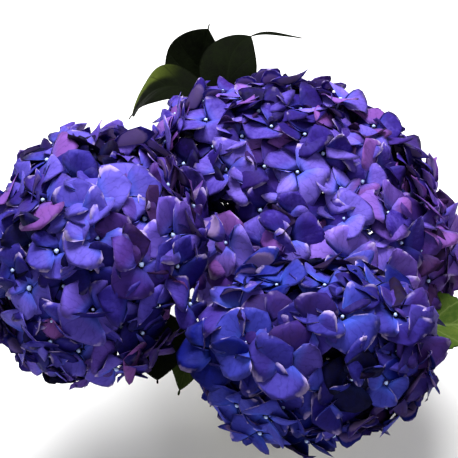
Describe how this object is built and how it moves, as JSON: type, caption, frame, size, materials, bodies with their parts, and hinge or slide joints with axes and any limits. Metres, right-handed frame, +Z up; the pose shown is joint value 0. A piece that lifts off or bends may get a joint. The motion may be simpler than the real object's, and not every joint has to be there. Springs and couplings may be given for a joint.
{
  "type": "hydrangeas in a vase",
  "caption": "Cut mophead hydrangeas in blue and violet with green leaves, standing loosely in a low round glazed vase, as a table decoration.",
  "frame": {"origin": "centre of the vase's base, on the surface it stands on", "axes": "+Z up, +X to the viewer's right, +Y away from the viewer, towards the back bloom"},
  "size_m": [0.3521, 0.3592, 0.2706],
  "materials": {
    "glaze": "smooth off-white glaze",
    "stem": "fresh green-brown woody stem",
    "leaf": "dark green, finely veined, toothed edge",
    "petals_left": "papery violet-blue sepals with pale lilac rims",
    "petals_back": "papery violet sepals with pink touches",
    "petals_front": "papery deep blue sepals with pale lilac rims"
  },
  "bodies": {
    "root": {"vase": "glaze", "stem_left": "stem", "stem_back": "stem", "stem_front": "stem", "stem_shoot": "stem", "leaf_shoot_left": "leaf", "leaf_shoot_middle": "leaf", "leaf_shoot_right": "leaf", "leaf_right": "leaf", "leaf_front_low": "leaf", "leaf_left_low": "leaf", "leaf_left_front": "leaf", "leaf_left_back": "leaf", "ray_left_1": "petals_left", "ray_left_2": "petals_left", "ray_left_3": "petals_left", "ray_left_4": "petals_left", "ray_left_5": "petals_left", "ray_left_6": "petals_left", "ray_left_7": "petals_left", "ray_back_1": "petals_back", "ray_back_2": "petals_back", "ray_back_3": "petals_back", "ray_back_4": "petals_back", "ray_back_5": "petals_back", "ray_back_6": "petals_back", "ray_back_7": "petals_back", "ray_front_1": "petals_front", "ray_front_2": "petals_front", "ray_front_3": "petals_front", "ray_front_4": "petals_front", "ray_front_5": "petals_front", "ray_front_6": "petals_front", "ray_front_7": "petals_front"}
  },
  "joints": []
}
